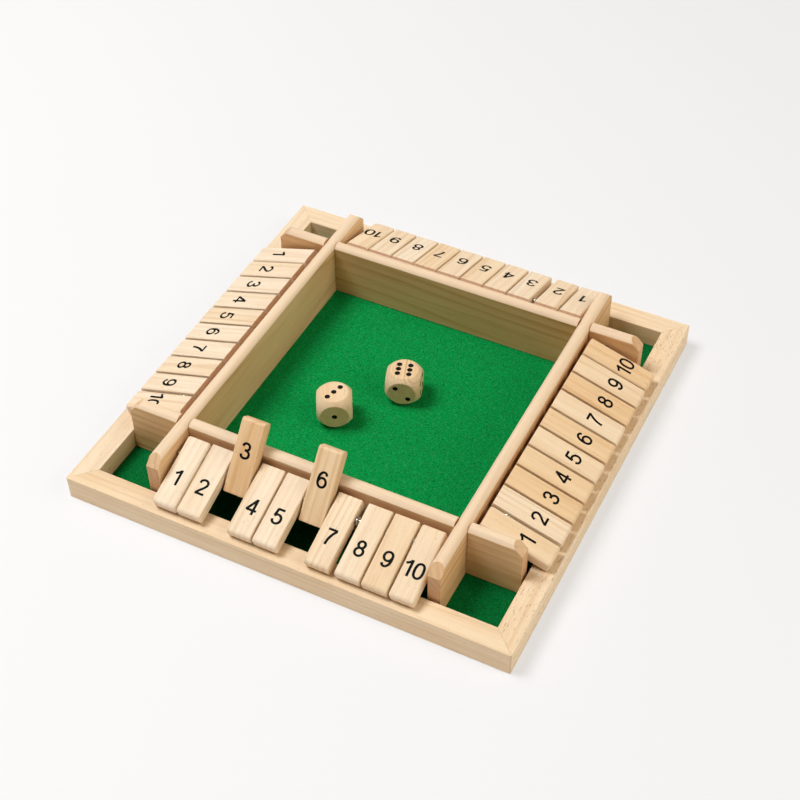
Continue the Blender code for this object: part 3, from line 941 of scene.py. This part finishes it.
def draw_strokes(curve, text):
    """Draws a number's digits side by side as splines."""
    shift = 0.0
    for digit in text:
        for kind, points in FIGURES[digit]:
            spline = curve.splines.new("BEZIER")
            spline.bezier_points.add(len(points) - 1)
            spline.use_cyclic_u = kind == "ring"
            handle = "VECTOR" if kind == "line" else "AUTO"
            for bezier, (across, up) in zip(spline.bezier_points, points):
                bezier.co = (across * HUNDREDTH + shift, up * HUNDREDTH, 0)
                bezier.handle_left_type = handle
                bezier.handle_right_type = handle
        shift += ONE_WIDTH if digit == "1" else DIGIT_WIDTH


def figure_mesh(text, sizes):
    """A printed number as flat strokes, its middle at the origin and its top towards +Y."""
    height = sizes.figure_height
    curve = bpy.data.curves.new("number", "CURVE")
    curve.dimensions = "3D"
    curve.bevel_depth = sizes.figure_stroke / 2 / height
    curve.bevel_resolution = 2
    curve.resolution_u = 7
    curve.use_fill_caps = True
    draw_strokes(curve, text)
    drawn = new_object("number", curve)
    bpy.context.view_layer.update()
    depsgraph = bpy.context.evaluated_depsgraph_get()
    mesh = bpy.data.meshes.new_from_object(drawn.evaluated_get(depsgraph))
    bpy.data.objects.remove(drawn)
    bpy.data.curves.remove(curve)
    flatten = sizes.ink_height / (sizes.figure_stroke / 2)
    centre = Matrix.Translation((-DIGIT_WIDTH * len(text) / 2, -0.5, 0))
    scale = Matrix.Diagonal((height * sizes.figure_spread, height, height * flatten, 1))
    mesh.transform(scale @ centre)
    for polygon in mesh.polygons:
        polygon.material_index = 1
    return mesh


def print_number(bm, text, sizes):
    """Prints the number on both faces of a tile: its top to the inner end, below to the outer end."""
    mesh = figure_mesh(text, sizes)
    along = sizes.tail - sizes.figure_place
    face = sizes.thickness / 2
    upright = Matrix.Translation((0, along, face))
    under = Matrix.Translation((0, along, -face)) @ Matrix.Rotation(math.pi, 4, "X")
    for place in (upright, under):
        placed = mesh.copy()
        placed.transform(place)
        bm.from_mesh(placed)
        bpy.data.meshes.remove(placed)
    bpy.data.meshes.remove(mesh)


def rod_mesh(radius, length):
    """A round rod along X with rounded ends."""
    bm = bmesh.new()
    bmesh.ops.create_cone(bm, cap_ends=True, segments=32, radius1=radius, radius2=radius, depth=length)
    ends = edges_where(bm, lambda a, b: abs(a.z - b.z) < MERGE_DISTANCE)
    round_edges(bm, ends, radius * 0.3, 2)
    bmesh.ops.rotate(bm, verts=bm.verts, cent=(0, 0, 0), matrix=Matrix.Rotation(math.pi / 2, 3, "Y"))
    return bm


def spin_ring(bm, sizes):
    """Spins one spacer ring's round section about X, and gives back its points."""
    raised = Matrix.Translation((0, 0, (sizes.ring_radius + sizes.ring_hole) / 2))
    flattened = Matrix.Diagonal((sizes.ring_thickness / 2, 1, (sizes.ring_radius - sizes.ring_hole) / 2, 1))
    upright = Matrix.Rotation(math.pi / 2, 4, "X")
    others = set(bm.verts)
    section = bmesh.ops.create_circle(
        bm, cap_ends=False, segments=10, radius=1, matrix=raised @ flattened @ upright
    )
    edges = list({edge for vert in section["verts"] for edge in vert.link_edges})
    bmesh.ops.spin(
        bm,
        geom=section["verts"] + edges,
        cent=(0, 0, 0),
        axis=(1, 0, 0),
        angle=2 * math.pi,
        steps=28,
        use_merge=True,
    )
    return [vert for vert in bm.verts if vert not in others]


def ring_mesh(sizes, places):
    """Spacer rings on a rod along X, each one loose: hung on the rod and a little askew."""
    bm = bmesh.new()
    chance = random.Random("rings")
    for place in places:
        ring = spin_ring(bm, sizes)
        sideways = Matrix.Rotation(chance.uniform(-0.07, 0.07), 4, "Z")
        tilt = sideways @ Matrix.Rotation(chance.uniform(-0.05, 0.05), 4, "Y")
        hang = Matrix.Translation((place, 0, sizes.radius - sizes.ring_hole))
        bmesh.ops.transform(bm, verts=ring, matrix=hang @ tilt)
    bmesh.ops.remove_doubles(bm, verts=bm.verts, dist=MERGE_DISTANCE)
    return bm


def pip_faces(pips):
    """Each face of a die: its count, where it looks, and the two ways that its pips are laid out."""
    top, front, right = pips
    return (
        (top, (0, 0, 1), (1, 0, 0), (0, 1, 0)),
        (7 - top, (0, 0, -1), (1, 0, 0), (0, 1, 0)),
        (front, (0, -1, 0), (1, 0, 0), (0, 0, 1)),
        (7 - front, (0, 1, 0), (1, 0, 0), (0, 0, 1)),
        (right, (1, 0, 0), (0, 1, 0), (0, 0, 1)),
        (7 - right, (-1, 0, 0), (0, 1, 0), (0, 0, 1)),
    )


def die_mesh(sizes, pips):
    """A ball sawn flat on six sides, with its rims eased and its pips drilled and painted."""
    bm = bmesh.new()
    bmesh.ops.create_uvsphere(bm, u_segments=96, v_segments=64, radius=sizes.ball_radius)
    half = sizes.side / 2
    for axis in range(3):
        for end in (-1, 1):
            normal = Vector((0, 0, 0))
            normal[axis] = end
            saw(bm, normal * half, normal)
    rims = [edge for edge in bm.edges if edge.is_manifold and edge.calc_face_angle() > RIM_ANGLE]
    round_edges(bm, rims, sizes.rim_rounding, 3)
    bmesh.ops.recalc_face_normals(bm, faces=bm.faces[:])
    for count, outward, across, up in pip_faces(pips):
        out = Vector(outward)
        centres = []
        for u, v in PIP_SHARES[count]:
            centres.append(out * half + (Vector(across) * u + Vector(up) * v) * sizes.pip_pitch)
        openings = hole_rims(bm, flat_face(bm, outward), centres, sizes.pip_radius, 20)
        for rim, centre in zip(openings, centres):
            paint_pip(bm, rim, centre, out, sizes.pip_depth)
    return bm


def paint_pip(bm, rim, centre, out, depth):
    """Sinks a pip in steps and paints it."""
    level = Vector(centre)
    painted = set()
    for share, narrower in PIP_STEPS:
        rim, walls = sink(bm, rim, -out * depth * share, narrower, level)
        painted |= walls
        level = level - out * depth * share
    painted |= set(bmesh.ops.holes_fill(bm, edges=rim, sides=0)["faces"])
    for face in painted:
        face.material_index = 1


def pale_tops(bm):
    """Painted light: a board's upward-facing top is painted paler than its faces, as if lit from above."""
    edge = bm.faces.layers.float["edge"]
    for face in bm.faces:
        if face.normal.z > 0.3 and abs(face.normal.x) < 0.3:
            face[edge] = PAINTED_TOP_LIGHT


class SHUTBOX_OT_rails(bpy.types.Operator):
    """Makes the four mitred rails of the frame"""

    bl_idname = "shutbox.rails"
    bl_label = "Rails"

    def execute(self, context):
        sizes = settings("rails")
        for side in SIDES:
            bm = rail_mesh(sizes)
            flecks = float(side == FLECKED_RAIL)
            store_grain(bm, side + "_rail", "X", RAIL_CUT, RAIL_TONES[side], flecks=flecks)
            outward = (sizes.length - sizes.width) / 2
            place = turned_to(side) @ Matrix.Translation((0, -outward, 0))
            add_piece(side + "_rail", bm, place, "pine_rails", replaced="rail_" + side)
        return {"FINISHED"}


class SHUTBOX_OT_base(bpy.types.Operator):
    """Makes the plywood panel under the felt"""

    bl_idname = "shutbox.base"
    bl_label = "Base panel"

    def execute(self, context):
        bm = block(size_of("base_panel"))
        round_edges(bm, bm.edges[:], 0.00015, 2)
        store_grain(bm, "base", "X", BASE_CUT, BASE_TONE, 1.2)
        place = Matrix.Translation(middle("base_panel"))
        add_piece("plywood_base", bm, place, "plywood", replaced="base_panel")
        return {"FINISHED"}

def cloth_mesh(sizes, top):
    """The felt's upper face, level at its highest and uneven below that."""
    coarse, fine = FELT_SWELLS
    bm = bmesh.new()
    bmesh.ops.create_grid(bm, x_segments=150, y_segments=150, size=sizes.side / 2)
    for vert in bm.verts:
        swell = noise.noise(vert.co * coarse) + 0.5 * noise.noise(vert.co * fine)
        vert.co.z = -sizes.ripple * max(0.0, min(1.0, 0.5 + swell / 2))
    bmesh.ops.translate(bm, verts=bm.verts, vec=(0, 0, top))
    mesh = new_mesh(bm, "felt_cloth", material_for("green_felt"))
    mesh.shade_smooth()
    return mesh


class SHUTBOX_OT_felt(bpy.types.Operator):
    """Lays the green felt on the base panel"""

    bl_idname = "shutbox.felt"
    bl_label = "Felt"

    def execute(self, context):
        sizes = settings("felt")
        felt = new_object("felt_cloth", cloth_mesh(sizes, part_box("felt_sheet")[1][2]))
        body = felt.modifiers.new("cloth_body", "SOLIDIFY")
        body.thickness = sizes.thickness - sizes.ripple
        body.offset = -1
        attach(felt, "tray")
        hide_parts("felt_sheet")
        return {"FINISHED"}


class SHUTBOX_OT_boards(bpy.types.Operator):
    """Makes the four boards that are lapped round the dice tray"""

    bl_idname = "shutbox.boards"
    bl_label = "Boards"

    def execute(self, context):
        sizes = settings("boards")
        outward = abs(middle("cross_board_front").y)
        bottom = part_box("cross_board_front")[0][2]
        rod_height = middle("rod_front").z - bottom
        for side, board in BOARD_NODES.items():
            bm = board_mesh(sizes, outward, side in CROSS_SIDES, rod_height)
            store_grain(bm, side + "_board", "X", BOARD_CUT, BOARD_TONES[side], angle=FLAT_SAWN[side])
            # Painted light on the board's top
            pale_tops(bm)
            place = turned_to(side) @ Matrix.Translation((0, -outward, bottom))
            add_piece(side + "_board", bm, place, "pine_boards", replaced=board)
        return {"FINISHED"}


class SHUTBOX_OT_rods(bpy.types.Operator):
    """Makes the four rods and the spacer rings between the tiles"""

    bl_idname = "shutbox.rods"
    bl_label = "Rods and rings"

    def execute(self, context):
        sizes = settings("rods")
        axis = middle("rod_front")
        for side in SIDES:
            place = turned_to(side) @ Matrix.Translation((0, axis.y, axis.z))
            bm = rod_mesh(sizes.radius, size_of("rod_front").x)
            store_grain(bm, side + "_rod", "X")
            add_piece(side + "_rod", bm, place, "steel", replaced="rod_" + side)
            tiles = [tile_along(side, number) for number in NUMBERS]
            gaps = [(first + second) / 2 for first, second in zip(tiles, tiles[1:])]
            bm = ring_mesh(sizes, gaps)
            store_grain(bm, side + "_rings", "X")
            add_piece(side + "_rings", bm, place, "steel")
        return {"FINISHED"}


def flip_joint(side, number):
    """The hinge of a tile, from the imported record."""
    name = f"tile_{side}_{number:02d}_flip"
    return next(joint for joint in frame["joints"] if joint["name"] == name)


def tile_along(side, number):
    """Where a tile stands along its rod, left of the middle counted as negative."""
    place = Vector(flip_joint(side, number)["pos_m"])
    return (turned_to(side).inverted() @ place).x


def tile_mesh(side, number, sizes):
    """A tile with its printed numbers. A row's end tiles are rounder, and their tips are sanded off."""
    at_end = number in ROW_ENDS
    bm = tile_blank(sizes, sizes.row_end_rounding if at_end else sizes.rounding)
    if at_end:
        ease_tips(bm, sizes)
    if INNER_END_SLOPE[side]:
        slope_inner_end(bm, sizes, INNER_END_SLOPE[side])
    print_number(bm, str(number), sizes)
    return bm


class SHUTBOX_OT_tiles(bpy.types.Operator):
    """Makes the four rows of flip tiles with their printed numbers"""

    bl_idname = "shutbox.tiles"
    bl_label = "Flip tiles"

    def execute(self, context):
        sizes = settings("tiles")
        for side in SIDES:
            for number in NUMBERS:
                joint = flip_joint(side, number)
                flipped = joint["range_deg"][0] < 0
                name = f"{side}_tile_{number:02d}"
                bm = tile_mesh(side, number, sizes)
                store_grain(bm, name, "Y", TILE_CUT, TILE_TONES[side][number - 1])
                turn = Matrix.Rotation(sizes.flipped if flipped else sizes.lying, 4, "X")
                place = Matrix.Translation(joint["pos_m"]) @ turned_to(side) @ turn
                body = f"tile_{side}_{number:02d}"
                add_piece(name, bm, place, "pine_tiles", body, body, extra=("ink",))
        return {"FINISHED"}


class SHUTBOX_OT_dice(bpy.types.Operator):
    """Makes the two wooden dice"""

    bl_idname = "shutbox.dice"
    bl_label = "Dice"

    def execute(self, context):
        sizes = settings("dice")
        for body, (pips, turn, figure, fine) in DICE.items():
            bm = die_mesh(sizes, pips)
            store_grain(bm, body, "Y", DIE_CUT, DIE_TONE, figure, fine=fine)
            place = Matrix.Translation(middle(body)) @ Matrix.Rotation(turn, 4, "Z")
            add_piece("wooden_" + body, bm, place, "pine_dice", body, body, extra=("pip_paint",))
        return {"FINISHED"}


def add_lamp(name, place, width, power, colour):
    """A round soft lamp that shines at the middle of the tray."""
    lamp = bpy.data.lights.new(name, "AREA")
    lamp.shape = "DISK"
    lamp.size = width
    lamp.energy = power
    lamp.color = colour
    holder = new_object(name, lamp)
    holder.location = place
    holder.rotation_euler = (-Vector(place)).to_track_quat("-Z", "Y").to_euler()


def add_camera(sizes):
    camera = bpy.data.cameras.new("camera")
    camera.lens = sizes.camera_lens
    camera.sensor_width = 36
    camera.clip_end = 20
    holder = new_object("camera", camera)
    place = Vector(sizes.camera_place)
    look = (Vector(sizes.camera_aim) - place).to_track_quat("-Z", "Y").to_matrix().to_4x4()
    roll = Matrix.Rotation(sizes.camera_roll, 4, "Z")
    holder.matrix_world = Matrix.Translation(place) @ look @ roll
    bpy.context.scene.camera = holder


def floor_material(sizes):
    """A pale matt table top, which the camera and shiny pieces see mostly as plain backdrop."""
    material, tree, shader = new_material("pale_floor")
    place = node(tree, "TexCoord").outputs["Object"]
    cloudy = noise_of(tree, place, (3, 3, 3), detail=2.0)
    paler = [min(1.0, part * 1.02) for part in sizes.floor]
    colour = mix(tree, scaled(tree, cloudy, 0.3, 0.7, 0.0, 1.0), sizes.floor, paler)
    dress(tree, shader, Base_Color=colour, Roughness=0.75, Specular_IOR_Level=0.2)
    rays = node(tree, "LightPath").outputs
    seen = maths(tree, "MAXIMUM", rays["Is Camera Ray"], rays["Is Glossy Ray"])
    seen = maths(tree, "MAXIMUM", seen, rays["Is Transmission Ray"])
    way = node(tree, "VectorMath", {0: place, 1: BACKDROP_WAY}, operation="DOT_PRODUCT").outputs["Value"]
    # Painted falloff of the lamp's light: the backdrop darkens towards the right
    right = scaled(tree, way, *BACKDROP_SPAN, 0.0, 1.0)
    shade = mix(tree, right, sizes.backdrop, sizes.backdrop_right)
    plain = node(tree, "Emission", {"Color": shade, "Strength": 1.0})
    share = times(tree, seen, sizes.backdrop_share)
    blended = node(tree, "MixShader", {0: share, 1: shader.outputs[0], 2: plain.outputs[0]})
    tree.links.new(blended.outputs[0], tree.nodes["Material Output"].inputs["Surface"])
    return material


def studio_world(sizes):
    """The light of a studio: white walls near the horizon and a ceiling that is dim above the camera."""
    world = bpy.data.worlds.new("studio_light")
    world.use_nodes = True
    tree = world.node_tree
    ray = node(tree, "SeparateXYZ", {0: node(tree, "TexCoord").outputs["Generated"]}).outputs
    high = scaled(tree, ray["Z"], *WALL_SPAN, 0.0, 1.0)
    ceiling = scaled(tree, ray["Y"], *CEILING_SPAN, sizes.ceiling_front, sizes.ceiling)
    colour = mix(tree, high, sizes.walls_colour, sizes.ceiling_colour)
    strength = scaled(tree, high, 0.0, 1.0, sizes.walls, ceiling)
    dress(tree, tree.nodes["Background"], Color=colour, Strength=strength)
    return world


class SHUTBOX_OT_stage(bpy.types.Operator):
    """Makes the floor, the camera, the lamps and the light from all round"""

    bl_idname = "shutbox.stage"
    bl_label = "Stage"

    def execute(self, context):
        sizes = settings("stage")
        bm = bmesh.new()
        bmesh.ops.create_grid(bm, x_segments=1, y_segments=1, size=sizes.floor_reach)
        floor = new_object("floor", new_mesh(bm, "floor", floor_material(sizes)))
        add_lamp("key_lamp", sizes.key_place, sizes.key_width, sizes.key_power, sizes.key_colour)
        add_lamp("side_lamp", sizes.side_place, sizes.side_width, sizes.side_power, sizes.side_colour)
        context.scene.world = studio_world(sizes)
        context.scene.view_settings.view_transform = "Standard"
        add_camera(sizes)
        return {"FINISHED"}


OPERATORS = (
    SHUTBOX_OT_rails,
    SHUTBOX_OT_base,
    SHUTBOX_OT_felt,
    SHUTBOX_OT_boards,
    SHUTBOX_OT_rods,
    SHUTBOX_OT_tiles,
    SHUTBOX_OT_dice,
    SHUTBOX_OT_stage,
)


class SHUTBOX_PT_panel(bpy.types.Panel):
    """Lists the sizes and colours of the game, and the buttons that make its pieces"""

    bl_idname = "SHUTBOX_PT_panel"
    bl_label = "Shut the box game"
    bl_space_type = "VIEW_3D"
    bl_region_type = "UI"
    bl_category = "Shut the box"

    def draw(self, context):
        for name, group in PROPERTY_GROUPS.items():
            box = self.layout.box()
            box.label(text=name.capitalize())
            for value in group.__annotations__:
                box.prop(settings(name), value)
        for operator in OPERATORS:
            self.layout.operator(operator.bl_idname)


def register():
    for group in PROPERTY_GROUPS.values():
        bpy.utils.register_class(group)
    for name, group in PROPERTY_GROUPS.items():
        setattr(bpy.types.Scene, "shut_box_" + name, bpy.props.PointerProperty(type=group))
    for item in (*OPERATORS, SHUTBOX_PT_panel):
        bpy.utils.register_class(item)


def unregister():
    for item in (SHUTBOX_PT_panel, *reversed(OPERATORS)):
        bpy.utils.unregister_class(item)
    for name in PROPERTY_GROUPS:
        delattr(bpy.types.Scene, "shut_box_" + name)
    for group in reversed(PROPERTY_GROUPS.values()):
        bpy.utils.unregister_class(group)


def main():
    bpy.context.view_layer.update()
    register()
    bpy.ops.shutbox.rails()
    bpy.ops.shutbox.base()
    bpy.ops.shutbox.felt()
    bpy.ops.shutbox.boards()
    bpy.ops.shutbox.rods()
    bpy.ops.shutbox.tiles()
    bpy.ops.shutbox.dice()
    bpy.ops.shutbox.stage()


if __name__ == "__main__":
    main()
